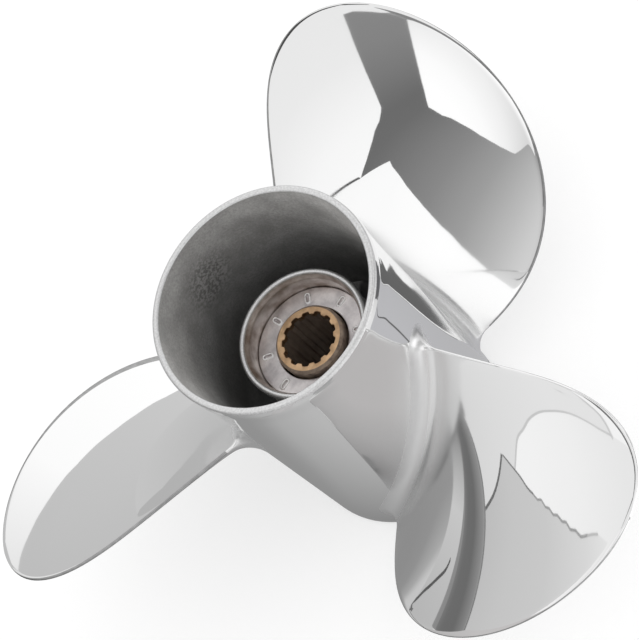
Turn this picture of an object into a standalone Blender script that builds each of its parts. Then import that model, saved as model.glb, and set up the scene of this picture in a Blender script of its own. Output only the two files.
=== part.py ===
# Three-bladed outboard propeller with through-hub exhaust, right-hand rotation.
# +Z runs along the shaft axis from the engine side to the aft end.
# The origin is on the shaft axis, in the plane of the barrel's engine-side rim.
import bpy
import bmesh
from math import cos, sin, pi, radians, sqrt, hypot
from mathutils import Matrix

MM = 0.001
GAP = 0.3 * MM                  # joint line between two pieces that touch

# Barrel, the outer exhaust tube, as (height, radius) in millimetres
BARREL_LENGTH = 154 * MM
BARREL_OUTER = [(0, 47.7), (0.7, 48.4), (40, 49.3), (79, 50.2), (118, 51.1), (138, 52.0), (148, 52.9)]
BARREL_RIM = [(150.2, 53.0), (151.8, 52.75), (153.1, 52.0), (153.9, 51.0), (154, 50.4), (153.6, 49.9)]
BARREL_INNER = [(0, 45.4), (60, 46.4), (118, 47.4), (140, 48.6), (150, 49.6)]
BARREL_SIDES = 72

# Blades
BLADE_COUNT = 3
BLADE_TIP_R = 172.6 * MM
BLADE_ROOT_R = 50.0 * MM        # reference radius of the root, before it follows the barrel
BLADE_PHASE = radians(15)       # direction of the first blade
PITCH_PER_RAD = 62.8 * MM       # 395 mm of pitch for each turn
BLADE_MID_Z = 57.3 * MM         # height of the face at 100 mm radius on the phase line
AFT_RAKE = 0.200                # rise for each metre of radius
ROOT_THICKNESS = 9.0 * MM
TIP_THICKNESS = 3.2 * MM
EDGE_THICKNESS = 1.8 * MM
ROOT_FILLET = 9.0 * MM
CHORD_POINTS = 15
ROOT_STEPS = 5

# Inner hub and its three webs
HUB_LIP_Z = 114.2 * MM
HUB_LIP_R = 30.2 * MM
HUB_TUBE_R = 29.6 * MM
HUB_BORE_R = 26.9 * MM
HUB_FRONT_Z = 6 * MM
HUB_SHOULDER = 8 * MM
RIB_THICKNESS = 6 * MM
RIB_FRONT_Z = 12 * MM
RIB_AFT_Z = 62 * MM
RIB_PHASE = radians(45)

# Drive hub inside it
PLATE_Z = 102.1 * MM
PLATE_THICKNESS = 2.6 * MM
PLATE_INNER_R = 17.0 * MM
MARK_COUNT = 8
MARK_PHASE = radians(9)
MARK_LENGTH = 5.0 * MM
MARK_WIDTH = 1.7 * MM
MARK_RADIUS = 22.0 * MM
MARK_DEPTH = 0.6 * MM
SLEEVE_AFT_Z = 106.9 * MM
SLEEVE_FRONT_Z = 9 * MM
SLEEVE_R = 16.3 * MM
SLEEVE_CHAMFER = 1.2 * MM
SPLINE_COUNT = 13
SPLINE_PHASE = radians(26.4)
SPLINE_ROOT_R = 12.9 * MM
SPLINE_TIP_R = 11.75 * MM

for old in list(bpy.data.objects):
    bpy.data.objects.remove(old, do_unlink=True)


def material(name, colour, metallic, roughness):
    mat = bpy.data.materials.new(name)
    mat.use_nodes = True
    bsdf = mat.node_tree.nodes["Principled BSDF"]
    bsdf.inputs["Base Color"].default_value = (*colour, 1)
    bsdf.inputs["Metallic"].default_value = metallic
    bsdf.inputs["Roughness"].default_value = roughness
    return mat


def add(name, bm, mat, smooth_angle=35):
    bmesh.ops.recalc_face_normals(bm, faces=bm.faces[:])
    mesh = bpy.data.meshes.new(name)
    bm.to_mesh(mesh)
    bm.free()
    mesh.shade_smooth()
    mesh.set_sharp_from_angle(angle=radians(smooth_angle))
    mesh.materials.append(mat)
    obj = bpy.data.objects.new(name, mesh)
    bpy.context.collection.objects.link(obj)
    return obj


def turn(bm, angle):
    bmesh.ops.rotate(bm, verts=bm.verts[:], cent=(0, 0, 0), matrix=Matrix.Rotation(angle, 3, "Z"))


def radius_at(table, z):
    """Radius from a table of heights and radii, straight between its points."""
    z_mm = z / MM
    for (z0, r0), (z1, r1) in zip(table, table[1:]):
        if z_mm <= z1:
            return (r0 + (r1 - r0) * (z_mm - z0) / (z1 - z0)) * MM
    return table[-1][1] * MM


def turned(profile, sides):
    """Closed profile of (radius, height) points turned about Z."""
    bm = bmesh.new()
    verts = [bm.verts.new((r, 0, z)) for r, z in profile]
    edges = [bm.edges.new(pair) for pair in zip(verts, verts[1:] + verts[:1])]
    bmesh.ops.spin(bm, geom=verts + edges, cent=(0, 0, 0), axis=(0, 0, 1), angle=2 * pi,
                   steps=sides, use_merge=True, use_duplicate=False)
    bmesh.ops.remove_doubles(bm, verts=bm.verts[:], dist=1e-7)
    return bm


polished = material("polished_stainless", (0.80, 0.80, 0.80), 1, 0.08)
blade_steel = material("blade_stainless", (0.82, 0.82, 0.82), 1, 0.06)
cast = material("cast_stainless", (0.40, 0.39, 0.38), 1, 0.45)
hub_steel = material("machined_hub", (0.60, 0.57, 0.54), 1, 0.3)
plate_steel = material("plated_steel", (0.66, 0.64, 0.65), 1, 0.35)
rubber = material("black_rubber", (0.03, 0.028, 0.026), 0, 0.7)
bronze = material("bronze", (0.66, 0.45, 0.26), 1, 0.38)

# Barrel: tapered tube, flared to a rounded aft rim
barrel_profile = [(r * MM, z * MM) for z, r in BARREL_OUTER + BARREL_RIM + BARREL_INNER[::-1]]
add("barrel", turned(barrel_profile, BARREL_SIDES), polished)


# Blades: sections on cylinders round the axis, lofted from the barrel to the tip
def outline(x):
    """Middle angle and half width of the blade at a share x of its height."""
    middle = BLADE_PHASE + 0.221 - 0.353 * x + 0.741 * x ** 2 - 0.157 * x ** 3
    half = (0.662 - 0.148 * x + 0.304 * x ** 2 - 0.305 * x ** 3) * sqrt(max(0, 1 - x * x))
    return middle, half


def face_height(r, angle):
    """Height of the aft face: a screw surface with a little rake."""
    d = r - 100 * MM
    sweep = angle - BLADE_PHASE
    pitch = PITCH_PER_RAD - 0.064 * d - 0.26 * d * d
    return BLADE_MID_Z + AFT_RAKE * d - 0.84 * d * d + sweep * pitch - 0.7 * MM * sweep * sweep


def fillet(height):
    """How far the root fillet stands out at this height above the barrel."""
    rest = max(0, ROOT_FILLET - height)
    return ROOT_FILLET - sqrt(ROOT_FILLET ** 2 - rest ** 2)


def blade_section(x):
    """Face, trailing edge, back and leading edge of the section, unrolled to (along, up)."""
    r = BLADE_ROOT_R + (BLADE_TIP_R - BLADE_ROOT_R) * x
    middle, half = outline(x)
    thick = ROOT_THICKNESS + (TIP_THICKNESS - ROOT_THICKNESS) * x ** 0.8
    grow = fillet(r - BLADE_ROOT_R + GAP)
    inset = max(0, half * r - EDGE_THICKNESS / 2) / r
    tip_taper = min(1, 0.4 + 0.6 * half * r / (14 * MM))
    face, back = [], []
    for i in range(CHORD_POINTS):
        share = cos(pi * i / (CHORD_POINTS - 1))         # 1 at the leading edge, -1 at the trailing
        angle = middle - share * inset
        z = face_height(r, angle)
        slope = (face_height(r, angle + 1e-4) - z) / (1e-4 * r)
        size = hypot(1, slope)
        along, up = -slope / size, 1 / size              # across the section, towards the aft side
        depth = EDGE_THICKNESS + (thick - EDGE_THICKNESS) * (1 - share * share) ** 0.75
        depth *= tip_taper
        face.append((angle * r + along * grow, z + up * grow))
        back.append((angle * r - along * (depth + grow), z - up * (depth + grow)))
    noses = []
    for a, b in ((face[-1], back[-1]), (back[0], face[0])):
        size = hypot(a[0] - b[0], a[1] - b[1])
        out = (min(size, EDGE_THICKNESS) / 2 + grow) / size
        noses.append(((a[0] + b[0]) / 2 - (b[1] - a[1]) * out, (a[1] + b[1]) / 2 + (b[0] - a[0]) * out))
    return r, face, noses[0], back, noses[1]


def place(point, r, x):
    """Wraps a section's point round the axis. Near the root it follows the barrel's taper."""
    along, z = point
    barrel = radius_at(BARREL_OUTER, z) + GAP
    rr = r + (barrel - BLADE_ROOT_R) * (1 - x) ** 3
    return rr * cos(along / r), rr * sin(along / r), z


def blade(angle):
    bm = bmesh.new()
    height = BLADE_TIP_R - BLADE_ROOT_R
    heights = [ROOT_FILLET * (1 - cos(radians(a))) for a in (0, 25, 40, 55, 72, 90)]
    heights += [height * sin(pi / 2 * k / 16) for k in range(2, 16)] + [height * 0.9985]
    rings = []
    for h in heights:
        x = h / height
        r, face, trailing, back, leading = blade_section(x)
        rings.append([bm.verts.new(place(p, r, x)) for p in face + [trailing] + back[::-1] + [leading]])
    for low, high in zip(rings, rings[1:]):
        for i in range(len(low)):
            j = (i + 1) % len(low)
            bm.faces.new((low[i], low[j], high[j], high[i]))
    bm.faces.new(rings[-1])

    # The root face is a grid that curves with the barrel
    r, face, trailing, back, leading = blade_section(0)
    n = CHORD_POINTS
    rows = []
    for i in range(n):
        row = [rings[0][i]]
        for k in range(1, ROOT_STEPS):
            w = k / ROOT_STEPS
            row.append(bm.verts.new(place([face[i][c] * (1 - w) + back[i][c] * w for c in (0, 1)], r, 0)))
        rows.append(row + [rings[0][2 * n - i]])
    for a, b in zip(rows, rows[1:]):
        for p, q, u, v in zip(a, a[1:], b[1:], b):
            bm.faces.new((p, q, u, v))
    for row, nose in ((rows[0], rings[0][-1]), (rows[-1], rings[0][n])):
        for p, q in zip(row, row[1:]):
            bm.faces.new((p, q, nose))
    bmesh.ops.triangulate(bm, faces=bm.faces[:])
    turn(bm, angle)
    return bm


for k in range(BLADE_COUNT):
    add(f"blade_{k + 1}", blade(-2 * pi / BLADE_COUNT * k), blade_steel, 40)

# Inner hub: the tube that carries the drive hub, with a raised lip at its aft end
shoulder_r = SLEEVE_R + 3 * MM
add("inner_hub", turned([
    (HUB_TUBE_R - 0.8 * MM, HUB_FRONT_Z), (HUB_TUBE_R, HUB_FRONT_Z + 0.8 * MM),
    (HUB_TUBE_R, HUB_LIP_Z - 8 * MM), (HUB_LIP_R, HUB_LIP_Z - 5 * MM),
    (HUB_LIP_R, HUB_LIP_Z - 0.7 * MM), (HUB_LIP_R - 0.6 * MM, HUB_LIP_Z),
    (HUB_LIP_R - 1.1 * MM, HUB_LIP_Z), (HUB_LIP_R - 1.6 * MM, HUB_LIP_Z - 0.7 * MM),
    (HUB_BORE_R + 0.4 * MM, HUB_LIP_Z - 3 * MM), (HUB_BORE_R, HUB_LIP_Z - 4 * MM),
    (HUB_BORE_R, HUB_FRONT_Z + HUB_SHOULDER), (shoulder_r, HUB_FRONT_Z + HUB_SHOULDER),
    (shoulder_r, HUB_FRONT_Z)], 64), hub_steel)

# Webs between the inner hub and the barrel
for k in range(3):
    bm = bmesh.new()
    corners = []
    for z in (RIB_FRONT_Z, RIB_AFT_Z):
        reach = radius_at(BARREL_INNER, z) * cos(pi / BARREL_SIDES) - GAP
        for r, y in ((HUB_TUBE_R + GAP, -1), (reach, -1), (reach, 1), (HUB_TUBE_R + GAP, 1)):
            y *= RIB_THICKNESS / 2
            corners.append(bm.verts.new((sqrt(r * r - y * y), y, z)))
    low, high = corners[:4], corners[4:]
    bm.faces.new(low[::-1])
    bm.faces.new(high)
    for i in range(4):
        j = (i + 1) % 4
        bm.faces.new((low[i], low[j], high[j], high[i]))
    turn(bm, RIB_PHASE + 2 * pi / 3 * k)
    add(f"rib_{k + 1}", bm, cast)

# End plate of the bushing, with small pressed slots all round
plate_r = HUB_BORE_R - GAP
plate = add("bushing_end_plate", turned([
    (plate_r, PLATE_Z - PLATE_THICKNESS), (plate_r, PLATE_Z - 0.4 * MM),
    (plate_r - 0.4 * MM, PLATE_Z), (PLATE_INNER_R + 0.3 * MM, PLATE_Z),
    (PLATE_INNER_R, PLATE_Z - 0.3 * MM), (PLATE_INNER_R, PLATE_Z - PLATE_THICKNESS)], 64), plate_steel)
bm = bmesh.new()
for k in range(MARK_COUNT):
    end = (MARK_LENGTH - MARK_WIDTH) / 2
    ring = []
    for i in range(12):
        a = 2 * pi * (i + 0.5) / 12
        x = MARK_RADIUS + (end if cos(a) > 0 else -end) + MARK_WIDTH / 2 * cos(a)
        ring.append(bm.verts.new((x, MARK_WIDTH / 2 * sin(a), PLATE_Z - MARK_DEPTH)))
    side = bmesh.ops.extrude_face_region(bm, geom=[bm.faces.new(ring)])
    top = [v for v in side["geom"] if isinstance(v, bmesh.types.BMVert)]
    bmesh.ops.translate(bm, verts=top, vec=(0, 0, 2 * MARK_DEPTH))
    bmesh.ops.rotate(bm, verts=ring + top, cent=(0, 0, 0),
                     matrix=Matrix.Rotation(MARK_PHASE + 2 * pi / MARK_COUNT * k, 3, "Z"))
slots = add("slot_cutters", bm, plate_steel)
slots.hide_render = True
slots.display_type = "WIRE"
cut = plate.modifiers.new("slots", "BOOLEAN")
cut.operation = "DIFFERENCE"
cut.object = slots

# Rubber bushing, bonded between the plate, the hub's bore and the sleeve
floor_z = HUB_FRONT_Z + HUB_SHOULDER + GAP
under_plate = PLATE_Z - PLATE_THICKNESS - GAP
add("rubber_bushing", turned([
    (plate_r, floor_z), (plate_r, under_plate), (SLEEVE_R + GAP, under_plate),
    (SLEEVE_R + GAP, floor_z)], 64), rubber)

# Splined sleeve: bronze tube with straight grooves in its bore
bore = []
for k in range(SPLINE_COUNT):
    for share, r in ((-0.33, SPLINE_TIP_R), (-0.22, SPLINE_ROOT_R), (0, SPLINE_ROOT_R),
                     (0.22, SPLINE_ROOT_R), (0.33, SPLINE_TIP_R), (0.5, SPLINE_TIP_R)):
        a = SPLINE_PHASE + 2 * pi * (k + share) / SPLINE_COUNT
        bore.append((cos(a), sin(a), r))
levels = [(SLEEVE_FRONT_Z, None), (SLEEVE_FRONT_Z, SLEEVE_R - SLEEVE_CHAMFER),
          (SLEEVE_FRONT_Z + SLEEVE_CHAMFER, SLEEVE_R), (SLEEVE_AFT_Z - SLEEVE_CHAMFER, SLEEVE_R),
          (SLEEVE_AFT_Z, SLEEVE_R - SLEEVE_CHAMFER), (SLEEVE_AFT_Z, None)]
bm = bmesh.new()
rings = [[bm.verts.new((x * (r or land), y * (r or land), z)) for x, y, land in bore] for z, r in levels]
for a, b in zip(rings, rings[1:] + rings[:1]):
    for i in range(len(bore)):
        j = (i + 1) % len(bore)
        bm.faces.new((a[i], a[j], b[j], b[i]))
add("splined_sleeve", bm, bronze, 30)
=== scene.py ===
from math import cos, hypot, pi, radians, sin, sqrt

import bmesh
import bpy
from mathutils import Matrix, Vector


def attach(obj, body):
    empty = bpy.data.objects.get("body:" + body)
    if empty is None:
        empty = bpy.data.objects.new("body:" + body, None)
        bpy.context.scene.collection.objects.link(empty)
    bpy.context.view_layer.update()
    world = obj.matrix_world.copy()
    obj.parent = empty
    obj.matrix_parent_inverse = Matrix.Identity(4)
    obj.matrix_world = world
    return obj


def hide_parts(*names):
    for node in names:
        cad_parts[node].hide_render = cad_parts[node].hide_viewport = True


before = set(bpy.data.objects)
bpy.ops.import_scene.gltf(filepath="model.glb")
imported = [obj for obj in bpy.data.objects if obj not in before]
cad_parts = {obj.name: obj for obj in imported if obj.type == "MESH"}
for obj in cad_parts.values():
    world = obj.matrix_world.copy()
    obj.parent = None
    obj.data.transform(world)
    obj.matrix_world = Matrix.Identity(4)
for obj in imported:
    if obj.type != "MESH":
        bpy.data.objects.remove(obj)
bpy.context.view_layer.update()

# Barrel: the outer exhaust tube of the casting, in investment-cast stainless steel.
# Its outside is ground and mirror polished and its aft rim is ground to a bull nose,
# while the inside stays as it left the shot blaster.
mm = 0.001


def srgb(code):
    """Linear colour of an sRGB hex code."""
    parts = [int(code[i:i + 2], 16) / 255 for i in (0, 2, 4)]
    return [p / 12.92 if p <= 0.04045 else ((p + 0.055) / 1.055) ** 2.4 for p in parts] + [1]


def add_node(mat, kind, settings={}, links={}):
    """Adds a node to a material. Settings name its inputs or its properties, a ramp's stops are
    (place from 0 to 1, sRGB hex), and links feed its inputs."""
    new = mat.node_tree.nodes.new(kind)
    for key, value in settings.items():
        if key == "stops":
            for place, tone in value[1:-1]:
                new.color_ramp.elements.new(place)
            for element, (place, tone) in zip(new.color_ramp.elements, value):
                element.position = place
                element.color = srgb(tone)
        elif isinstance(key, int) or key in new.inputs:
            new.inputs[key].default_value = value
        else:
            setattr(new, key, value)
    for key, source in links.items():
        mat.node_tree.links.new(source, new.inputs[key])
    return new


def start_material(name, colour, **sockets):
    """A material whose Principled shader has its even values on its own sockets."""
    mat = bpy.data.materials.new(name)
    mat.use_nodes = True
    shader = mat.node_tree.nodes["Principled BSDF"]
    shader.inputs["Base Color"].default_value = srgb(colour)
    for key, value in sockets.items():
        shader.inputs[key.replace("_", " ")].default_value = value
    return mat, shader


def feed(mat, source, shader, socket):
    """Links a node's output to a socket of the shader."""
    mat.node_tree.links.new(source, shader.inputs[socket])


def place_mesh(name, bm, finishes, sharp=35):
    """A smooth-shaded object from a bmesh, with its materials. Corners of more degrees than
    sharp stay crisp."""
    bmesh.ops.recalc_face_normals(bm, faces=bm.faces[:])
    mesh = bpy.data.meshes.new(name)
    bm.to_mesh(mesh)
    bm.free()
    mesh.shade_smooth()
    mesh.set_sharp_from_angle(angle=radians(sharp))
    for mat in finishes:
        mesh.materials.append(mat)
    obj = bpy.data.objects.new(name, mesh)
    bpy.context.scene.collection.objects.link(obj)
    return obj


def eased(points, steps):
    """A smooth curve through pairs of numbers, with that many steps between each two."""
    curve = []
    for i in range(len(points) - 1):
        a, b, c, d = (Vector(points[max(0, min(len(points) - 1, i + k))]) for k in (-1, 0, 1, 2))
        for t in (s / steps for s in range(steps)):
            curve.append(tuple(b + (c - a) * t / 2 + (2 * a - 5 * b + 4 * c - d) * t * t / 2
                               + (3 * b - a - 3 * c + d) * t ** 3 / 2))
    return curve + [points[-1]]


def round_place(r, angle, z):
    """A place in metres, from its radius in mm, its angle about the shaft and its height in mm."""
    return r * mm * cos(angle), r * mm * sin(angle), z * mm


def join_rings(bm, low, high, finish_of=lambda place: 0):
    """Faces between two rings of points, with the finish that finish_of gives at each place round them."""
    for i in range(len(low)):
        j = (i + 1) % len(low)
        bm.faces.new((low[i], low[j], high[j], high[i])).material_index = finish_of(i)


def turned(bands, sides):
    """Closed (radius, height) profile in mm turned about the shaft. A band is (points, finish)."""
    bm = bmesh.new()
    rings, finishes = [], []
    for points, finish in bands:
        for r, z in points:
            rings.append([bm.verts.new(round_place(r, 2 * pi * s / sides, z)) for s in range(sides)])
            finishes.append(finish)
    for low, high, finish in zip(rings, rings[1:] + rings[:1], finishes):
        join_rings(bm, low, high, lambda place: finish)
    return bm


# Investment-cast stainless, mirror polished on a felt wheel. The eye gets a near-perfect
# mirror whose reflections wander a little, from the 30 mm waves that the wheel leaves. A
# haze that comes and goes in patches of 12 mm softens them.
polished, shader = start_material("mirror_polished_stainless", "EFEFEF", Metallic=1.0, Roughness=0.04)
coords = add_node(polished, "ShaderNodeTexCoord").outputs["Object"]
waves = add_node(polished, "ShaderNodeTexNoise", {"Scale": 1 / 0.030, "Detail": 1.0}, {"Vector": coords})
wavy = add_node(polished, "ShaderNodeBump", {"Strength": 1.0, "Distance": 0.018 * mm},
                {"Height": waves.outputs["Fac"]})
feed(polished, wavy.outputs["Normal"], shader, "Normal")
haze = add_node(polished, "ShaderNodeTexNoise", {"Scale": 1 / 0.012, "Detail": 3.0}, {"Vector": coords})
buffed = add_node(polished, "ShaderNodeMapRange",
                  {"From Min": 0.3, "From Max": 0.7, "To Min": 0.012, "To Max": 0.035},
                  {"Value": haze.outputs["Fac"]})
feed(polished, buffed.outputs[0], shader, "Roughness")

# The same steel ground on a belt. The rim spreads the light into one even pale band with
# a fine grit in it, drawn at 0.9 mm so that it shows.
ground, shader = start_material("belt_ground_stainless", "DEDEDE", Metallic=1.0, Roughness=0.38)
coords = add_node(ground, "ShaderNodeTexCoord").outputs["Object"]
grit = add_node(ground, "ShaderNodeTexNoise", {"Scale": 1 / 0.0009, "Detail": 3.0}, {"Vector": coords})
grit_tones = add_node(ground, "ShaderNodeValToRGB", {"stops": [(0.35, "D2D2D2"), (0.65, "E4E4E4")]},
                      {"Fac": grit.outputs["Fac"]})
feed(ground, grit_tones.outputs["Color"], shader, "Base Color")
gritty = add_node(ground, "ShaderNodeBump", {"Strength": 0.3, "Distance": 0.03 * mm},
                  {"Height": grit.outputs["Fac"]})
feed(ground, gritty.outputs["Normal"], shader, "Normal")

# The same steel as cast and shot blasted. It is matt grey with a grain of about 1 mm and
# one pitted patch where the shell mould was coarser. Painted shade darkens its colour with
# depth, most of all on the wall at +Y.
cast, shader = start_material("cast_stainless_with_painted_shade", "6A6968", Metallic=0.4, Roughness=0.65)
coords = add_node(cast, "ShaderNodeTexCoord").outputs["Object"]
grain = add_node(cast, "ShaderNodeTexNoise", {"Scale": 1 / 0.0011, "Detail": 3.0, "Roughness": 0.7},
                 {"Vector": coords})
clouds = add_node(cast, "ShaderNodeTexNoise", {"Scale": 1 / 0.015, "Detail": 3.0}, {"Vector": coords})
both = add_node(cast, "ShaderNodeMath", {"operation": "MULTIPLY"},
                {0: grain.outputs["Fac"], 1: clouds.outputs["Fac"]})
matt = add_node(cast, "ShaderNodeValToRGB", {"stops": [(0.12, "B2B1AF"), (0.42, "E2E1DF")]},
                {"Fac": both.outputs[0]})
pits = add_node(cast, "ShaderNodeTexNoise", {"Scale": 1 / 0.0013, "Detail": 2.0}, {"Vector": coords})
pitted = add_node(cast, "ShaderNodeValToRGB", {"stops": [(0.42, "646362"), (0.58, "D6D5D3")]},
                  {"Fac": pits.outputs["Fac"]})
patch_middle = Vector((-10, 46.5, 127)) * mm
reach = add_node(cast, "ShaderNodeVectorMath", {"operation": "DISTANCE", 1: patch_middle}, {0: coords})
near = add_node(cast, "ShaderNodeMapRange", {"From Min": 17 * mm, "From Max": 7 * mm, "To Max": 0.6},
                {"Value": reach.outputs["Value"]})
skin = add_node(cast, "ShaderNodeMix", {"data_type": "RGBA"},
                {0: near.outputs[0], 6: matt.outputs["Color"], 7: pitted.outputs["Color"]})
# Painted shade: the colour darkens towards the bottom of the barrel and towards +Y.
height = add_node(cast, "ShaderNodeVectorMath", {"operation": "DOT_PRODUCT", 1: (0, -0.9, 1)}, {0: coords})
clear = add_node(cast, "ShaderNodeMapRange", {"From Min": 55 * mm, "From Max": 140 * mm},
                 {"Value": height.outputs["Value"]})
painted_depth_shade = add_node(cast, "ShaderNodeValToRGB",
                {"stops": [(0, "A0A0A0"), (0.2, "A2A2A2"), (0.4, "B4B4B4"), (0.6, "CECECE"),
                           (0.8, "E0E0E0"), (1, "FFFFFF")]}, {"Fac": clear.outputs[0]})
skin_with_painted_shade = add_node(cast, "ShaderNodeMix", {"data_type": "RGBA", "blend_type": "MULTIPLY", 0: 1.0},
                  {6: skin.outputs[2], 7: painted_depth_shade.outputs["Color"]})
feed(cast, skin_with_painted_shade.outputs[2], shader, "Base Color")
grainy = add_node(cast, "ShaderNodeBump", {"Strength": 0.6, "Distance": 0.25 * mm},
                  {"Height": grain.outputs["Fac"]})
feed(cast, grainy.outputs["Normal"], shader, "Normal")

# Profiles in mm: the outside flares to the rim, and the inside leaves a wall of 2.3 to 3.7 mm.
outside = [(47.7, 0), (48.4, 0.7), (49.3, 40), (50.2, 79), (51.1, 118), (52.0, 138), (52.9, 148),
           (53.0, 150.2), (52.97, 152.2)]
rim = [(52.97, 152.2), (52.8, 152.95), (52.4, 153.6), (51.8, 153.95), (51.0, 154.0), (50.2, 153.9),
       (49.75, 153.4)]
inside = [(49.75, 153.4), (49.6, 150), (48.6, 140), (47.4, 118), (46.4, 60), (45.4, 0)]
outer_curve = [outside[0]] + eased(outside[1:], 10)
barrel_bands = [(outer_curve[:-1], 0), (eased(rim, 5)[:-1], 1), (eased(inside, 10), 2)]
barrel = place_mesh("barrel_casting", turned(barrel_bands, 256), [polished, ground, cast])
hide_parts("barrel")
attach(barrel, "root")

# Blades: three raked blades cast in one with the barrel, their aft faces ground to a
# screw of 395 mm pitch and mirror polished. Each root runs into the barrel in a fillet,
# and each face rolls off over its last 3 mm, to an edge broken by hand on a belt.

# The barrel's polish, but the felt wheel does not reach the fillets: they stay satin, and
# their reflections blur over the 40 mm next to the barrel.
blade_polish, shader = start_material("polished_blade_with_satin_root", "EFEFEF", Metallic=1.0,
                                      Roughness=0.04)
coords = add_node(blade_polish, "ShaderNodeTexCoord").outputs["Object"]
waves = add_node(blade_polish, "ShaderNodeTexNoise", {"Scale": 1 / 0.030, "Detail": 1.0}, {"Vector": coords})
wavy = add_node(blade_polish, "ShaderNodeBump", {"Strength": 1.0, "Distance": 0.018 * mm},
                {"Height": waves.outputs["Fac"]})
feed(blade_polish, wavy.outputs["Normal"], shader, "Normal")
xyz = add_node(blade_polish, "ShaderNodeSeparateXYZ", {}, {"Vector": coords})
from_shaft = add_node(blade_polish, "ShaderNodeCombineXYZ", {},
                      {"X": xyz.outputs["X"], "Y": xyz.outputs["Y"]})
radius = add_node(blade_polish, "ShaderNodeVectorMath", {"operation": "LENGTH"}, {0: from_shaft.outputs[0]})
satin = add_node(blade_polish, "ShaderNodeMapRange", {"From Min": 52 * mm, "From Max": 92 * mm},
                 {"Value": radius.outputs["Value"]})
blur = add_node(blade_polish, "ShaderNodeFloatCurve", {}, {"Value": satin.outputs[0]})
blur_points = blur.mapping.curves[0].points        # it starts with its two end points
for n, roughness in enumerate([(0, 0.30), (0.25, 0.20), (0.55, 0.08), (1, 0.022)]):
    if n in (1, 2):
        blur_points.new(*roughness)
    blur_points[n].location = roughness
feed(blade_polish, blur.outputs[0], shader, "Roughness")

# The same steel with its edge left satin, in strokes of 3 mm. Its darker colour is a painted
# reflection: it draws a thin dark line round each bright blade.
edge_with_painted_line, shader = start_material("satin_edge_with_painted_dark_line", "ACACAC", Metallic=1.0, Roughness=0.3)
coords = add_node(edge_with_painted_line, "ShaderNodeTexCoord").outputs["Object"]
strokes = add_node(edge_with_painted_line, "ShaderNodeTexNoise", {"Scale": 1 / 0.003, "Detail": 3.0}, {"Vector": coords})
stroke_tones = add_node(edge_with_painted_line, "ShaderNodeValToRGB", {"stops": [(0.3, "969696"), (0.7, "ACACAC")]},
                        {"Fac": strokes.outputs["Fac"]})
feed(edge_with_painted_line, stroke_tones.outputs["Color"], shader, "Base Color")

tip_r, root_r, root_fillet = 172.6 * mm, 50.0 * mm, 9.0 * mm
blade_height = tip_r - root_r
blade_phase = radians(15)                 # the first blade's own line, which its sweep is measured from
root_thickness, tip_thickness, edge_thickness = 9.0 * mm, 3.2 * mm, 1.8 * mm
roll_width, roll_depth = 3.0 * mm, 0.2 * mm
narrow_tip = 14 * mm                      # the blade thins where its half width is less than this
chord, nose = 72, 10                      # points across a face, and steps round an edge
fillet_steps, blade_steps = 14, 90        # sections in the fillet, and up the blade
painted_line_rows = [(1, 4), (0, 0), (9, 8)]    # rows beside each leading edge with the painted dark line, at the root and the tip
rows_full = 0.625                         # share of the height where the rows reach their number at the tip
polished_nose = [False, True, False]      # whether the trailing edge itself is polished too, without the painted dark line
fine = 0.05 * mm                          # a step that is short enough to measure a slope with


def barrel_radius(z):
    """Radius of the barrel's outside at a height."""
    for (r0, z0), (r1, z1) in zip(outer_curve, outer_curve[1:]):
        if z <= z1 * mm:
            return (r0 + (r1 - r0) * (z / mm - z0) / (z1 - z0)) * mm
    return outer_curve[-1][0] * mm


def face_height(r, angle):
    """Height of the aft face: a screw surface that rises 62.8 mm a radian, with a little rake."""
    d, sweep = r - 100 * mm, angle - blade_phase
    rake = 57.3 * mm + 0.200 * d - 0.84 * d * d
    return rake + sweep * (62.8 * mm - 0.064 * d - 0.26 * d * d) - 0.7 * mm * sweep * sweep


def outline(h):
    """The blade's middle and its half width, as angles, at a height above the barrel."""
    x = h / blade_height
    middle = blade_phase + 0.221 - 0.353 * x + 0.741 * x ** 2 - 0.157 * x ** 3
    return middle, (0.662 - 0.148 * x + 0.304 * x ** 2 - 0.305 * x ** 3) * sqrt(max(0, 1 - x * x))


def blade_section(h):
    """Closed loop round the blade at a height above the barrel, from the leading edge over
    the aft face to the trailing edge and back."""
    x, r = h / blade_height, root_r + h
    middle, half = outline(h)
    lower_middle, lower_half = outline(h - fine)
    thick = root_thickness + (tip_thickness - root_thickness) * x ** 0.8
    under_fillet = max(0, root_fillet - h)
    grow = root_fillet - sqrt(root_fillet ** 2 - under_fillet ** 2)
    inset = max(0, half * r - edge_thickness / 2) / r
    face, back, across = [], [], []
    for i in range(chord):
        share = cos(pi * i / (chord - 1))                # 1 at the leading edge, -1 at the trailing
        angle = middle - share * inset
        z = face_height(r, angle)
        slope = (face_height(r, angle + 1e-4) - z) / (1e-4 * r)
        up = Vector((-slope, 1)).normalized()
        depth = edge_thickness + (thick - edge_thickness) * (1 - share * share) ** 0.75
        depth *= min(1, 0.4 + 0.6 * half * r / narrow_tip)
        side = 1 if share > 0 else -1
        run = ((middle - side * half) * r - (lower_middle - side * lower_half) * (r - fine)) / fine
        gap = min((half - abs(share) * inset) * r / sqrt(1 + run * run), blade_height - h)
        roll = roll_depth * max(0, 1 - gap / roll_width) ** 3
        at = Vector((angle * r, z))
        face.append(at + up * (grow - roll))
        back.append(at - up * (depth + grow - roll))
        across.append(up)
    points = list(face)
    for top, bottom, up in ((face[-1], back[-1], across[-1]), (back[0], face[0], -across[0])):
        centre, reach = (top + bottom) / 2, (top - bottom).length / 2
        out = Vector((up.y, -up.x))
        points += [centre + up * reach * cos(pi * k / nose) + out * reach * sin(pi * k / nose)
                   for k in range(1, nose)]
        if top is face[-1]:
            points += back[::-1]
    places = []
    for along, z in points:
        rr = r + (barrel_radius(z) - root_r) * (1 - x) ** 3
        places.append(Vector((rr * cos(along / r), rr * sin(along / r), z)))
    return places


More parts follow.
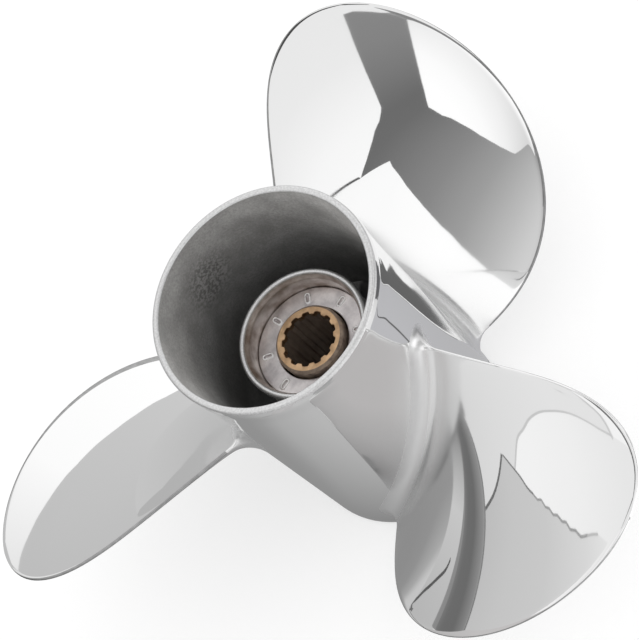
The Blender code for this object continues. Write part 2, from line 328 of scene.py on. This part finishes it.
# Heights of the sections: close together in the fillet and towards the tip. The foot is
# the lowest of them again, 0.3 mm deeper, so that it ends inside the barrel's wall.
heights = [root_fillet * (1 - cos(pi / 2 * k / fillet_steps)) for k in range(fillet_steps + 1)]
for k in range(blade_steps):
    h = blade_height * sin(pi / 2 * k / blade_steps)
    if h > root_fillet * 1.08:
        heights.append(h)
heights.append(blade_height * 0.9995)
foot = []
for place in blade_section(0):
    inward = 1 - 0.3 * mm / hypot(place.x, place.y)
    foot.append(Vector((place.x * inward, place.y * inward, place.z)))
trailing_edge = range(chord - 1, chord + nose - 1)
leading_edge = 2 * chord + nose - 2       # the loop's places from here on are round the leading edge
for number in range(3):
    root_rows, tip_rows = painted_line_rows[number]
    bm = bmesh.new()
    sections = [foot] + [blade_section(h) for h in heights]
    rings = [[bm.verts.new(place) for place in section] for section in sections]
    for h, low, high in zip(heights[:1] + heights, rings, rings[1:]):
        rows = round(root_rows + (tip_rows - root_rows) * min(1, h / (rows_full * blade_height)))

        # Faces in the edge bands take the satin material with its painted dark line.
        def painted_line_band(i):
            on_trailing = i in trailing_edge and not polished_nose[number]
            return int(h > root_fillet and (on_trailing or i < rows or i >= leading_edge - rows))

        join_rings(bm, low, high, painted_line_band)
    bm.faces.new(rings[-1]).material_index = 1
    bmesh.ops.rotate(bm, verts=bm.verts[:], matrix=Matrix.Rotation(-2 * pi / 3 * number, 3, "Z"))
    blade = place_mesh(f"blade_casting_{number + 1}", bm, [blade_polish, edge_with_painted_line], 60)
    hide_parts(f"blade_{number + 1}")
    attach(blade, "root")

# Webs: three thick ribs of the same casting, which carry the inner hub in the barrel
# and leave the exhaust passage open between them. They keep the barrel's blasted skin
# and its painted shade, with soft corners and a fillet at either end.
hub_side, barrel_side = 29.7, 46.2        # radii in mm that a web runs between
web_half, web_front, web_aft = 3.0, 12.0, 62.0
web_corner, web_fillet = 1.6, 2.5
web_steps, corner_steps = 20, 6
first_web = radians(45)                   # where the first web stands, about the shaft
for number in range(3):
    bm = bmesh.new()
    rings = []
    for step in range(web_steps + 1):
        r = hub_side + (barrel_side - hub_side) * (step / web_steps)
        flare = sum(web_fillet * (1 - sqrt(1 - max(0, 1 - gap / web_fillet) ** 2))
                    for gap in (r - hub_side, barrel_side - r))
        reach_z = (web_aft - web_front) / 2 - web_corner
        loop = []
        for turn, (side_y, side_z) in enumerate(((1, 1), (-1, 1), (-1, -1), (1, -1))):
            for k in range(corner_steps + 1):
                a = pi / 2 * (turn + k / corner_steps)
                y = side_y * (web_half + flare - web_corner) + web_corner * cos(a)
                z = (web_aft + web_front) / 2 + side_z * reach_z + web_corner * sin(a)
                loop.append(bm.verts.new((sqrt(r * r - y * y) * mm, y * mm, z * mm)))
        rings.append(loop)
    for low, high in zip(rings, rings[1:]):
        join_rings(bm, low, high)
    bm.faces.new(rings[0])
    bm.faces.new(rings[-1])
    turn_to_place = Matrix.Rotation(first_web + 2 * pi / 3 * number, 3, "Z")
    bmesh.ops.rotate(bm, verts=bm.verts[:], matrix=turn_to_place)
    web = place_mesh(f"web_casting_{number + 1}", bm, [cast], 40)
    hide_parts(f"rib_{number + 1}")
    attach(web, "root")

# Inner hub: the tube in the middle of the casting. Its aft end and bore are turned on a
# lathe to take the bushing, the bead of its lip is ground, and its outside is as cast.

# Turned stainless with a brownish film of handling. The lathe's rings, drawn 1.3 mm
# apart so that they show, spread a highlight round it.
turned_steel, shader = start_material("lathe_turned_stainless", "CFC6BE", Metallic=0.9, Roughness=0.4)
coords = add_node(turned_steel, "ShaderNodeTexCoord").outputs["Object"]
film = add_node(turned_steel, "ShaderNodeTexNoise", {"Scale": 1 / 0.009, "Detail": 4.0}, {"Vector": coords})
film_tones = add_node(turned_steel, "ShaderNodeValToRGB", {"stops": [(0.34, "9E8F84"), (0.62, "E6DFDA")]},
                      {"Fac": film.outputs["Fac"]})
feed(turned_steel, film_tones.outputs["Color"], shader, "Base Color")
lathe_rings = add_node(turned_steel, "ShaderNodeTexWave",
                       {"Scale": 1 / 0.004, "Distortion": 1.5, "bands_direction": "Z"}, {"Vector": coords})
ringed = add_node(turned_steel, "ShaderNodeBump", {"Strength": 0.3, "Distance": 0.02 * mm},
                  {"Height": lathe_rings.outputs["Fac"]})
feed(turned_steel, ringed.outputs["Normal"], shader, "Normal")

# Profiles in mm: up the outside, over the lip's bead, and down the mouth and the bore.
hub_outside = [(28.8, 6), (29.6, 6.8), (29.6, 106.2), (30.1, 108.6), (30.7, 110.8)]
hub_lip = [(30.7, 110.8), (30.8, 112.3), (30.5, 113.5), (29.9, 114.1), (29.35, 114.2), (28.8, 114.1),
           (28.35, 113.7), (28.05, 113.1)]
hub_mouth = [(28.05, 113.1), (27.35, 111.25), (27.05, 110.9), (26.9, 110.2), (26.9, 14), (19.3, 14),
             (19.3, 6)]
# The outside takes the cast material, with its painted shade.
hub_bands = [(hub_outside[:-1], 1), (eased(hub_lip, 4)[:-1], 2), (hub_mouth, 0)]
hub = place_mesh("inner_hub_casting", turned(hub_bands, 192), [turned_steel, cast, ground])
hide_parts("inner_hub")
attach(hub, "root")

# Bushing: a thick rubber ring pressed into the inner hub. It drives the propeller and
# gives way before the gears do. Only the gap beside the sleeve shows it.

# Moulded rubber: nearly black and matt, with a faint dust on it in specks of 2 mm.
rubber, shader = start_material("moulded_black_rubber", "1E1B19", Roughness=0.75)
coords = add_node(rubber, "ShaderNodeTexCoord").outputs["Object"]
dust = add_node(rubber, "ShaderNodeTexNoise", {"Scale": 1 / 0.002, "Detail": 3.0}, {"Vector": coords})
dust_tones = add_node(rubber, "ShaderNodeValToRGB", {"stops": [(0, "171513"), (1, "2E2A26")]},
                      {"Fac": dust.outputs["Fac"]})
feed(rubber, dust_tones.outputs["Color"], shader, "Base Color")
ring_profile = [(26.6, 14.3), (26.6, 99.0), (26.4, 99.2), (16.9, 99.2), (16.6, 98.9), (16.6, 14.3)]
bushing = place_mesh("rubber_ring", turned([(ring_profile, 0)], 128), [rubber])
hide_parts("rubber_bushing")
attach(bushing, "root")

# Sleeve: a bronze tube bonded in the rubber, broached with thirteen straight grooves
# that slide on the splined shaft. Its aft face is turned and chamfered.

# Machined bronze: a warm tan, tarnished in patches of 4.5 mm that break up its highlight.
bronze, shader = start_material("machined_bronze", "C79B6B", Metallic=1.0, Roughness=0.38)
coords = add_node(bronze, "ShaderNodeTexCoord").outputs["Object"]
tarnish = add_node(bronze, "ShaderNodeTexNoise", {"Scale": 1 / 0.0045, "Detail": 4.0}, {"Vector": coords})
tans = add_node(bronze, "ShaderNodeValToRGB", {"stops": [(0.35, "A88A6C"), (0.68, "D6B48E")]},
                {"Fac": tarnish.outputs["Fac"]})
feed(bronze, tans.outputs["Color"], shader, "Base Color")
uneven = add_node(bronze, "ShaderNodeBump", {"Strength": 0.3, "Distance": 0.03 * mm},
                  {"Height": tarnish.outputs["Fac"]})
feed(bronze, uneven.outputs["Normal"], shader, "Normal")

# The same bronze in the bore, under old grease. It shines less than the face does, so the
# grooves read as dark lines.
greased, shader = start_material("greased_bronze", "5C4E46", Metallic=0.6, Roughness=0.45)
coords = add_node(greased, "ShaderNodeTexCoord").outputs["Object"]
smear = add_node(greased, "ShaderNodeTexNoise", {"Scale": 1 / 0.006, "Detail": 3.0}, {"Vector": coords})
greases = add_node(greased, "ShaderNodeValToRGB", {"stops": [(0, "74665C"), (1, "AC9C8E")]},
                   {"Fac": smear.outputs["Fac"]})
feed(greased, greases.outputs["Color"], shader, "Base Color")

# The same bronze outside, as turned, with rubber left on it: a dull grey brown.
dull_bronze, shader = start_material("rubber_stained_bronze", "6E6259", Metallic=0.7, Roughness=0.5)
coords = add_node(dull_bronze, "ShaderNodeTexCoord").outputs["Object"]
stain = add_node(dull_bronze, "ShaderNodeTexNoise", {"Scale": 1 / 0.003, "Detail": 3.0}, {"Vector": coords})
stains = add_node(dull_bronze, "ShaderNodeValToRGB", {"stops": [(0.3, "80726A"), (0.7, "BBAA99")]},
                  {"Fac": stain.outputs["Fac"]})
feed(dull_bronze, stains.outputs["Color"], shader, "Base Color")

# The bore's radius in mm over one groove and one land, by shares of the turn between grooves.
groove_count, groove_phase, sleeve_outside = 13, radians(26.4), 16.3
groove_half = [(0.1, 12.93), (0.19, 12.9), (0.23, 12.8), (0.25, 12.6), (0.31, 11.95), (0.33, 11.8),
               (0.38, 11.75)]
groove = [(-share, r) for share, r in reversed(groove_half)] + [(0, 12.95)] + groove_half
land = [(0.46, 11.75), (0.54, 11.75)]
around = [(groove_phase + 2 * pi * (k + share) / groove_count, r)
          for k in range(groove_count) for share, r in groove + land]

# Rings round the sleeve: the height in mm, whether it is in the bore, how far it is set out
# from the wall there, and the finish from it to the next ring.
levels = [(9, False, -1.2, 0), (10.2, False, 0, 2), (105.6, False, 0, 2), (106.5, False, -0.8, 2),
          (106.9, False, -1.2, 0), (106.9, True, 0.25, 0), (106.65, True, 0, 0), (104, True, 0, 1),
          (60, True, 0, 1), (9.3, True, 0, 1), (9, True, 0.3, 0)]
bm = bmesh.new()
rings = []
for z, in_bore, shift, finish in levels:
    rings.append([bm.verts.new(round_place((wall if in_bore else sleeve_outside) + shift, angle, z))
                  for angle, wall in around])
for low, high, (z, in_bore, shift, finish) in zip(rings, rings[1:] + rings[:1], levels):
    join_rings(bm, low, high, lambda place: finish)
sleeve = place_mesh("splined_bronze_sleeve", bm, [bronze, greased, dull_bronze], 30)
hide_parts("splined_sleeve")
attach(sleeve, "root")

# End plate: a pressed steel washer bonded on the rubber's aft end. Eight short slots
# are pressed in it, which leaves a raised lip round each.

# Zinc-plated steel: pale and mottled, in patches of 8 mm that dent it a little.
plated, shader = start_material("zinc_plated_steel", "B4AEB0", Metallic=1.0, Roughness=0.34)
coords = add_node(plated, "ShaderNodeTexCoord").outputs["Object"]
patches = add_node(plated, "ShaderNodeTexNoise", {"Scale": 1 / 0.008, "Detail": 5.0, "Roughness": 0.6},
                   {"Vector": coords})
zinc_tones = add_node(plated, "ShaderNodeValToRGB", {"stops": [(0.33, "ACA7A8"), (0.66, "DCD7D6")]},
                      {"Fac": patches.outputs["Fac"]})
feed(plated, zinc_tones.outputs["Color"], shader, "Base Color")
dented = add_node(plated, "ShaderNodeBump", {"Strength": 0.4, "Distance": 0.06 * mm},
                  {"Height": patches.outputs["Fac"]})
feed(plated, dented.outputs["Normal"], shader, "Normal")

# The same plating, painted near white where the slots' lips stand up: a painted highlight in marks of 2 mm.
lip_highlight, shader = start_material("plating_with_painted_lip_highlight", "FFFEFD", Metallic=0.3, Roughness=0.35)
coords = add_node(lip_highlight, "ShaderNodeTexCoord").outputs["Object"]
highlight_mottle = add_node(lip_highlight, "ShaderNodeTexNoise", {"Scale": 1 / 0.002, "Detail": 3.0}, {"Vector": coords})
highlight_tones = add_node(lip_highlight, "ShaderNodeValToRGB", {"stops": [(0.3, "EEEDEC"), (0.7, "FFFFFF")]},
                      {"Fac": highlight_mottle.outputs["Fac"]})
feed(lip_highlight, highlight_tones.outputs["Color"], shader, "Base Color")

plate_back, plate_face = 99.5, 102.1      # heights in mm
plate_inner, plate_outer = 17.0, 26.6
inner_drop, inner_round = 0.25, 0.35      # how far the edges drop, and over what width
outer_drop, outer_round = 0.3, 0.4
slot_count, slot_phase, slot_radius, slot_half = 8, radians(9), 22.0, 1.25
lip_height, lip_middle, lip_half = 0.5, 1.05, 0.45      # the lip, the pit and the painted highlight's band go by how far a place is from a slot's middle line
pit_depth, pit_reach, pit_slope = 0.6, 0.65, 0.4        # how far a place is from a slot's middle line
highlight_middle, highlight_half = 1.1, 0.38


def slot_distance(r, angle):
    """Distance in mm from the middle line of the nearest slot."""
    turn = (angle - slot_phase + pi / slot_count) % (2 * pi / slot_count) - pi / slot_count
    return hypot(max(0, abs(r * cos(turn) - slot_radius) - slot_half), r * sin(turn))


def relief(r, angle):
    """Height of the plate's aft face over its flat, with a pit and a lip at each slot."""
    d = slot_distance(r, angle)
    lip = lip_height * max(0, 1 - ((d - lip_middle) / lip_half) ** 2)
    pit = -pit_depth * min(1, max(0, (pit_reach - d) / pit_slope))
    outer_edge = -outer_drop * max(0, (r - plate_outer + outer_round) / outer_round) ** 2
    inner_edge = -inner_drop * max(0, (plate_inner + inner_round - r) / inner_round) ** 2
    return lip + pit + (outer_edge + inner_edge)


bm = bmesh.new()
sides, rows = 720, 48
radii = [plate_inner + (plate_outer - plate_inner) * k / rows for k in range(rows + 1)]
half_row = (plate_outer - plate_inner) / rows / 2
angles = [2 * pi * s / sides for s in range(sides)]
rings = [[bm.verts.new(round_place(r, a, plate_face + relief(r, a))) for a in angles] for r in radii]
radii += [plate_outer, plate_inner]
rings += [[bm.verts.new(round_place(r, a, plate_back)) for a in angles] for r in radii[-2:]]
for r, low, high in zip(radii, rings, rings[1:] + rings[:1]):

    # Faces round each lip get the plating with its painted highlight.
    def lip_highlight_band(s):
        from_slot = slot_distance(r + half_row, 2 * pi * (s + 0.5) / sides)
        return int(abs(from_slot - highlight_middle) < highlight_half)

    join_rings(bm, low, high, lip_highlight_band)
plate = place_mesh("pressed_end_plate", bm, [plated, lip_highlight], 50)
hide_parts("bushing_end_plate")
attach(plate, "root")

# Studio: a white floor in a white tent, lit softly from all round. Grey and white cards
# hang round it and lie on the table, as a photographer sets them for a mirror finish.
scene = bpy.context.scene
scene.view_settings.view_transform = "Standard"
world = bpy.data.worlds.new("white_tent")
scene.world = world
world.use_nodes = True
sky = world.node_tree.nodes["Background"]
sky.inputs["Color"].default_value = (1, 1, 1, 1)
sky.inputs["Strength"].default_value = 1.1

# White paper on a light table: the glow from below keeps the shadows faint.
paper, shader = start_material("white_paper", "B8B8B8", Roughness=0.7, Emission_Color=(1, 1, 1, 1),
                               Emission_Strength=0.52)
bm = bmesh.new()
bmesh.ops.create_grid(bm, x_segments=1, y_segments=1, size=8)
floor = place_mesh("floor", bm, [paper])
floor.location.z = -0.8 * mm

card_at, wall_at = 3.0, 6.0               # metres from the propeller to the cards, and to the walls
before_card = 2.9                         # and to what hangs before a card
mirror_gain = 1.16                        # makes up the light that one mirror takes
shadow_reach = 50 * mm                      # how far from the shaft the painted shadow round the barrel's foot is at full strength


def aim(bearing, height, distance=card_at):
    """A place in the tent, from its bearing and its height in degrees."""
    flat = distance * cos(radians(height))
    up = distance * sin(radians(height))
    return Vector((flat * cos(radians(bearing)), flat * sin(radians(bearing)), up))


def sheet(places, distance=card_at):
    """Corners of a card that hangs in the tent."""
    return [aim(bearing, height, distance) for bearing, height in places]


def strip(line, across):
    """Corners of a narrow card along a line of places, that many degrees across."""
    other_side = [(bearing + across[0], height + across[1]) for bearing, height in reversed(line)]
    return sheet(line, before_card) + sheet(other_side, before_card)


def lay(x, y, layer=0):
    """A place on the table, in millimetres."""
    return Vector((x * mm, y * mm, (0.1 * layer - 0.6) * mm))


def start_card(name, corners, mirrors):
    """A glowing card that only the mirrors see, with its emission shader and its coordinates.
    Each mirror on the way to the camera takes some of the light, which its strength makes up."""
    bm = bmesh.new()
    bm.faces.new([bm.verts.new(corner) for corner in corners])
    mat = bpy.data.materials.new(name)
    mat.use_nodes = True
    mat.node_tree.nodes.clear()
    light = add_node(mat, "ShaderNodeEmission", {"Strength": mirror_gain ** mirrors})
    add_node(mat, "ShaderNodeOutputMaterial", {}, {"Surface": light.outputs[0]})
    card = place_mesh(name, bm, [mat])
    card.visible_camera = False
    card.visible_diffuse = False
    card.visible_shadow = False
    card.visible_transmission = False
    return mat, light, add_node(mat, "ShaderNodeTexCoord").outputs["Object"]


def set_card(name, corners, tones, fade=None, mirrors=1):
    """A card with one tone, or with tones evenly spaced between two places."""
    mat, light, coords = start_card(name, corners, mirrors)
    light.inputs["Color"].default_value = srgb(tones[0])
    if fade:
        way = (fade[1] - fade[0]) / (fade[1] - fade[0]).length_squared
        along = add_node(mat, "ShaderNodeVectorMath", {"operation": "DOT_PRODUCT", 1: way}, {0: coords})
        share = add_node(mat, "ShaderNodeMath", {"operation": "SUBTRACT", 1: fade[0].dot(way)},
                         {0: along.outputs["Value"]})
        stops = [(i / (len(tones) - 1), tone) for i, tone in enumerate(tones)]
        blend = add_node(mat, "ShaderNodeValToRGB", {"stops": stops}, {"Fac": share.outputs[0]})
        feed(mat, blend.outputs["Color"], light, "Color")


def set_round_card(name, corners, bearings, mirrors=1, foot=None):
    """A card with tones by bearing, which near the barrel pass into the tone foot: a painted shadow round the
    barrel's foot.
    """
    mat, light, coords = start_card(name, corners, mirrors)
    around = add_node(mat, "ShaderNodeTexGradient", {"gradient_type": "RADIAL"}, {"Vector": coords})
    stops = [(0.5 + bearing / 360, tone) for bearing, tone in bearings]
    tones = add_node(mat, "ShaderNodeValToRGB", {"stops": stops}, {"Fac": around.outputs["Fac"]})
    tones = tones.outputs["Color"]
    if foot:
        away = add_node(mat, "ShaderNodeVectorMath", {"operation": "LENGTH"}, {0: coords})
        shade = add_node(mat, "ShaderNodeMath", {"operation": "DIVIDE", 0: shadow_reach, "use_clamp": True},
                         {1: away.outputs["Value"]})
        darkened = add_node(mat, "ShaderNodeMix", {"data_type": "RGBA", 7: srgb(foot)},
                            {0: shade.outputs[0], 6: tones})
        tones = darkened.outputs[2]
    feed(mat, tones, light, "Color")


# Before blade 1: the dark room through the tent's open front. Its edges are the door flaps.
left_flap = [(21.0, 62.2), (13.8, 63.7), (3.7, 65.0), (-7.2, 65.5), (-19.4, 65.3), (-28.8, 64.3)]
left_corner = [(-30.7, 63.7), (-33.7, 62.3), (-35.6, 60.3), (-37.9, 58.3), (-39.6, 56.0), (-40.9, 53.4),
               (-42.1, 48.4), (-50.0, 56.1)]
lower_flap = [(-52.4, 55.1), (-57.5, 53.8), (-62.3, 52.2), (-67.6, 50.7), (-73.4, 49.0), (-79.0, 47.5),
              (-84.7, 46.0), (-90.6, 45.0), (-97.0, 43.3), (-103.4, 42.2), (-110.2, 41.2), (-121.1, 39.5),
              (-131.8, 39.2), (-138.1, 39.5), (-150, 42)]
upper_flap = [(11.0, 68.4), (3.5, 69.6), (-6.7, 70.6), (-13.6, 70.9), (-26.7, 70.8), (-33.7, 70.4),
              (-39.5, 69.8), (-43.7, 69.3), (-47.4, 69.5), (-52.7, 69.7), (-56.9, 70.2), (-63.1, 70.5),
              (-69.3, 70.7), (-76.4, 70.6), (-83.3, 70.6), (-89.8, 70.5), (-96.2, 70.5), (-98.5, 70.6)]
top_flap = [(15.5, 66.4), (16.8, 65.5), (18.3, 64.6), (19.6, 63.7), (20.7, 62.9)]
right_side = [(-150, 60), (-135, 68), (-120, 73.5), (-108, 76), (-101, 75), (-99.5, 71.8)]
ceiling_edge = [(-99.5, 71.8), (-101, 75), (-89.6, 80), (-67.0, 82), (-45, 83), (-25, 82), (-5, 79), (12, 75),
                (16, 68.5)]
set_round_card("room_through_the_door",
               sheet(left_flap + left_corner + lower_flap + right_side + upper_flap[::-1] + top_flap),
               [(-135, "D5D5D5"), (-125, "CBCBCB"), (-115, "BBBBBB"), (-105, "ACACAC"), (-95, "9D9D9D"),
                (-85, "939393"), (-75, "888888"), (-65, "808080"), (-55, "777777"), (-43, "6C6C6C"),
                (-33, "6A6A6A"), (-25, "707070"), (-15, "787878"), (-5, "7E7E7E"), (5, "838383"),
                (20, "868686")])
set_card("ceiling_cloth", sheet(upper_flap + ceiling_edge),
         ["FFFFFF", "FBFBFB", "EFEFEF", "DADADA", "C6C6C6"],
         (Vector((0.650, -0.650, 2.8)), Vector((0.276, -0.276, 2.8))))
set_card("door_seam", strip([(-42.1, 48.4), (-33.0, 39.3), (-28.7, 33.7)], (1.2, 0)), ["505050"])
set_card("front_wall",
         sheet([(60, 20), (60, 66), (20, 70), (-20, 74), (-60, 74), (-60, 22), (-20, 20)], wall_at),
         ["E7E7E7", "EAEAEA", "F6F6F6", "FAFAFA"], (aim(15, 50, wall_at), aim(-48, 50, wall_at)))
set_card("front_soft_box",
         sheet([(-59, 20), (-59, 60), (-100, 60), (-150, 50), (-150, 20), (-110, 18), (-80, 18)], wall_at),
         ["FAFAFA", "FFFFFF"], (aim(-60, 30, wall_at), aim(-85, 30, wall_at)))
set_card("door_top", sheet([(-80, 64), (-80, 84), (-140, 84), (-140, 60)], wall_at), ["CACACA"])
set_card("dark_board_by_the_door",
         sheet([(27.5, 54), (27.5, 76), (50, 80), (64, 78), (64, 56), (50, 50)]), ["484848"])
set_card("low_grey_card",
         sheet([(-4, -2), (-4, 36), (-30, 34), (-50, 30), (-70, 25), (-84, 19), (-92, 13), (-92, -2)]),
         ["A6A6A6", "B4B4B4", "CECECE"], (aim(-20, 12), aim(-78, 14)))

# Before blade 3: the grey end of the sweep below the tent's back wall
sweep_edge = [(52.9, 7.2), (56.5, 8.5), (58.4, 9.3), (60.1, 10.3), (62.0, 11.0), (63.9, 11.6), (65.5, 12.3),
              (67.6, 13.1), (69.5, 14.0), (71.2, 14.8), (73.4, 15.6), (75.3, 16.2), (77.4, 17.1),
              (81.4, 18.4), (85.0, 19.6), (87.7, 20.3), (90.8, 21.1), (97, 22)]
set_card("grey_sweep", sheet(sweep_edge + [(104, 20), (104, -3), (80, -3), (52, -3), (25, -3), (25, -1)]),
         ["CCCCCC", "BCBCBC"], (aim(50, 5), aim(95, 10)))
set_card("foot_of_the_sweep",
         sheet([(88.9, -3), (89.3, 2), (88.4, 4.5), (87.4, 9), (92, 10), (98, 8), (98, -3)], before_card),
         ["B0B0B0"])
set_card("back_wall", sheet([(20, -6), (60, -2), (104, -2), (104, 50), (60, 55), (20, 50)], wall_at),
         ["FFFFFF", "FBFBFB", "DCDCDC"], (aim(56, 18, wall_at), aim(94, 24, wall_at)))

# Before blade 2: the side wall, with a soft box whose cables hang down in front of it
cable_up = eased([(143.8, 21.2), (142.6, 23.4), (141.4, 26.1), (140.3, 28.0), (139.9, 29.6)], 3)
cable_down = eased([(139.9, 29.6), (139.5, 30.8), (139.75, 31.8), (139.2, 32.8), (139.3, 33.8),
                    (138.9, 34.8), (139.15, 35.8), (138.9, 37.0), (139.15, 38.0), (138.8, 39.0),
                    (139.1, 40.2), (139.0, 41.4), (139.3, 42.2), (139.6, 42.9)], 2)
cable_end = [(139.6, 42.9), (140.0, 43.8), (140.5, 45.2)]
cable_away = eased([(132.9, 14.1), (136.3, 17.4), (140.0, 19.6), (143.8, 21.2)], 3)
box_edge = eased([(140.9, 24.5), (145.5, 26.2), (147.7, 27.5), (149.3, 29.7), (151.2, 32.2), (152.5, 35.4),
                  (152.9, 38.7), (152.9, 41.8), (152.4, 44.9), (151.3, 48.5), (150.8, 50.8)], 5)
upper_edge = eased([(150.8, 50.9), (151.8, 50.5), (152.5, 50.2), (153.6, 49.4), (154.7, 47.8), (155.3, 46.5),
                    (155.8, 44.5), (156.4, 42.5), (159, 38.5)], 4)
low_cable = eased([(122.9, 5.6), (121.3, 5.3), (119.4, 3.8), (117.5, 2.4), (116.2, 1.4), (114.9, 0.8),
                   (113.6, 0.1)], 3)
low_cable_end = eased([(113.6, 0.1), (113.4, 0.9), (113.6, 1.6)], 3)
set_card("side_wall", sheet([(96, -4), (96, 60), (130, 66), (168, 66), (168, -4), (132, -4)], wall_at),
         ["D0D0D0", "DADADA", "E2E2E2"], (aim(145, 4, wall_at), aim(145, 34, wall_at)))
set_card("side_soft_box",
         sheet(box_edge + [(150, 54.5), (141, 54.5)] + (cable_up[6:] + cable_down + cable_end)[::-1]),
         ["F1F1F1", "EEEEEE", "E6E6E6"], (aim(146, 30), aim(146, 52)))
set_card("side_grey_card",
         sheet(cable_away + cable_up + cable_down + cable_end
               + [(141, 54.5), (138, 56), (104, 56), (104, 11), (128, 12)]),
         ["BCBCBC", "C4C4C4", "C8C8C8", "D6D6D6", "ECECEC"], (aim(128, 16), aim(140, 52)))
set_card("cable_away", strip(cable_away, (0.4, -0.4)), ["6A6A6A"])
set_card("cable_up", strip(cable_up, (0.3, 0.15)), ["787878"])
set_card("cable_down", strip(cable_down, (0.3, 0.05)), ["969696"])
set_card("cable_end", strip(cable_end, (0.2, -0.1)), ["B4B4B4"])
set_card("soft_box_rim", strip(box_edge, (0.35, -0.3)), ["C4C4C4"])
set_card("light_by_the_box", sheet(upper_edge + [(167, 38), (162, 48), (155, 55), (150, 55)]), ["F2F2F2"])
set_card("light_edge", strip(upper_edge, (-0.25, -0.25)), ["C6C6C6"])
set_card("pole_by_the_side", strip([(134, 54.4), (140, 54.4), (146, 54.4), (152, 54.2)], (0, 4)), ["707070"])
set_card("low_side_card",
         sheet([(104, -2), (104, 9.5), (118, 10.5), (128, 10.5), (150, 8), (153, -2), (128, -2)]),
         ["B2B2B2", "BCBCBC", "C6C6C6", "A8A8A8", "7C7C7C"], (aim(112, 4), aim(147, 4)))
set_card("low_side_card_end",
         sheet([(150, 10), (153, -3), (166, -3), (166, 9), (158, 10.5)], 2.95), ["868686"])
set_card("low_cable", strip(low_cable, (0.4, -0.5)), ["565656"])
set_card("low_cable_end", strip(low_cable_end, (0.4, 0)), ["6A6A6A"])
set_card("left_wall",
         sheet([(168, -4), (168, 36), (200, 38), (232, 36), (262, 30), (262, -4), (215, -4)], wall_at),
         ["CCCCCC", "D6D6D6", "DADADA"], (aim(200, 1, wall_at), aim(200, 22, wall_at)))
set_card("grey_board_on_the_left", sheet([(175, 24), (237, 24), (237, 38), (175, 38)], 5.5),
         ["B4B4B4", "ACACAC", "A0A0A0"], (aim(186, 24, 5.5), aim(186, 33, 5.5)), 2)

# Close to the barrel: a folded grey card on the left, which blade 2 throws on to it, and
# a small black flag, which blade 1 throws on to it
card_top = [(-78, -320, 330), (-78, -165, 160), (-78, -145, 150), (-78, -130, 145), (-78, -115, 131),
            (-78, -100, 114), (-78, -88, 97), (-78, -75, 78), (-84, -63, 64), (-90, -52, 50), (-98, -42, 38),
            (-106, -32, 28), (-112, -22, 14), (-115, -16, 3)]
card_foot = [(-78, -320, 110), (-78, -180, 108), (-78, -145, 119), (-78, -130, 106), (-78, -115, 95),
             (-78, -100, 83), (-78, -90, 73), (-78, -80, 60), (-84, -73, 48), (-90, -66, 45), (-98, -60, 38),
             (-104, -48, 22), (-110, -36, 9), (-115, -26, 1)]
set_card("folded_card_by_the_barrel", [Vector(corner) * mm for corner in card_top + card_foot[::-1]],
         ["8A8989", "A6A5A5", "B4B2B2"], (Vector((0, 0, 22)) * mm, Vector((0, 0, 84)) * mm), 2)
flag = [(52, 40), (60, 52), (66, 63), (72, 71), (80, 79), (87, 83), (93, 89), (98, 97), (103, 108), (101, 92),
        (99, 78), (97, 69), (90, 63), (80, 55), (71, 48), (62, 43)]
set_card("black_flag_by_blade_1", [Vector((x, -55, z)) * mm for x, z in flag], ["626262"], None, 2)

# On the table: its tone changes round the propeller, and a painted shadow darkens it round the barrel's foot
black_paper = [(119, 25), (120, -30), (124, -52), (134, -72), (152, -96), (175, -115), (210, -130),
               (225, -100), (180, -60), (165, -10), (160, 25)]
left_felt = [(-206, -62), (-205, -20), (-210, 90), (-235, 185), (-640, 520), (-1200, 600), (-1200, 0),
             (-700, -130), (-330, -110)]
front_felt = [(20, -157), (-60, -420), (-200, -1600), (2500, -1600), (2500, -800), (760, -380), (520, -260),
              (430, -210), (222, -157)]
mat_behind = [(-18, 110), (-18, 217), (-32, 253), (-38, 330), (-36, 560), (50, 1937), (260, 7000),
              (-900, 7000), (-200, 1937), (-150, 330), (-110, 110)]
under_blade = [(40, 20), (140, 20), (118, -60), (98, -84), (86, -94), (74, -92), (60, -60)]
# Its last tone is the painted shadow round the barrel's foot.
set_round_card("table_top", [lay(-8000, -8000), lay(8000, -8000), lay(8000, 8000), lay(-8000, 8000)],
               [(-180, "A0A0A0"), (-165, "BABABA"), (-135, "CECECE"), (-108, "D4D4D4"), (-98, "FFFFFF"),
                (-45, "FFFFFF"), (-10, "D8D8D8"), (25, "C3C3C3"), (119, "C5C5C5"), (124, "A8A8A8"),
                (130, "9B9B9B"), (134, "929292"), (150, "909090"), (168, "949494"), (180, "A0A0A0")],
               1, "868686")
set_card("table_under_the_blade", [lay(*place, 2) for place in under_blade],
         ["B8B8BB", "B0B0B2"], (lay(100, -70), lay(60, -8)))
set_card("black_paper_on_the_table", [lay(*place, 3) for place in black_paper], ["606062"])
# Its last tone is the painted shadow round the barrel's foot.
set_round_card("grey_felt_on_the_left", [lay(*place, 1) for place in left_felt],
               [(-180, "969696"), (-160, "A0A0A0"), (138, "7C7C7C"), (148, "686868"), (160, "666666"),
                (170, "848484"), (180, "969696")], 2, "747474")
set_card("white_felt_in_front", [lay(*place, 1) for place in front_felt], ["FFFFFF"], None, 2)
set_card("grey_mat_behind", [lay(*place, 1) for place in mat_behind], ["B0B0B0"])

# Camera: a long lens about 1.5 m away. It looks down on the aft end from 56 degrees up,
# with its horizon rolled to the left.
camera = bpy.data.objects.new("camera", bpy.data.cameras.new("camera"))
scene.collection.objects.link(camera)
camera.data.sensor_fit = "HORIZONTAL"
camera.data.lens = 188.73
camera.data.clip_start = 0.05
camera.location = (0.0093, -0.8237, 1.3184)
roll = Matrix.Rotation(radians(-48.437), 3, "Z")
tilt = Matrix.Rotation(radians(34.281), 3, "X")
camera.rotation_euler = (tilt @ roll).to_euler()
scene.camera = camera
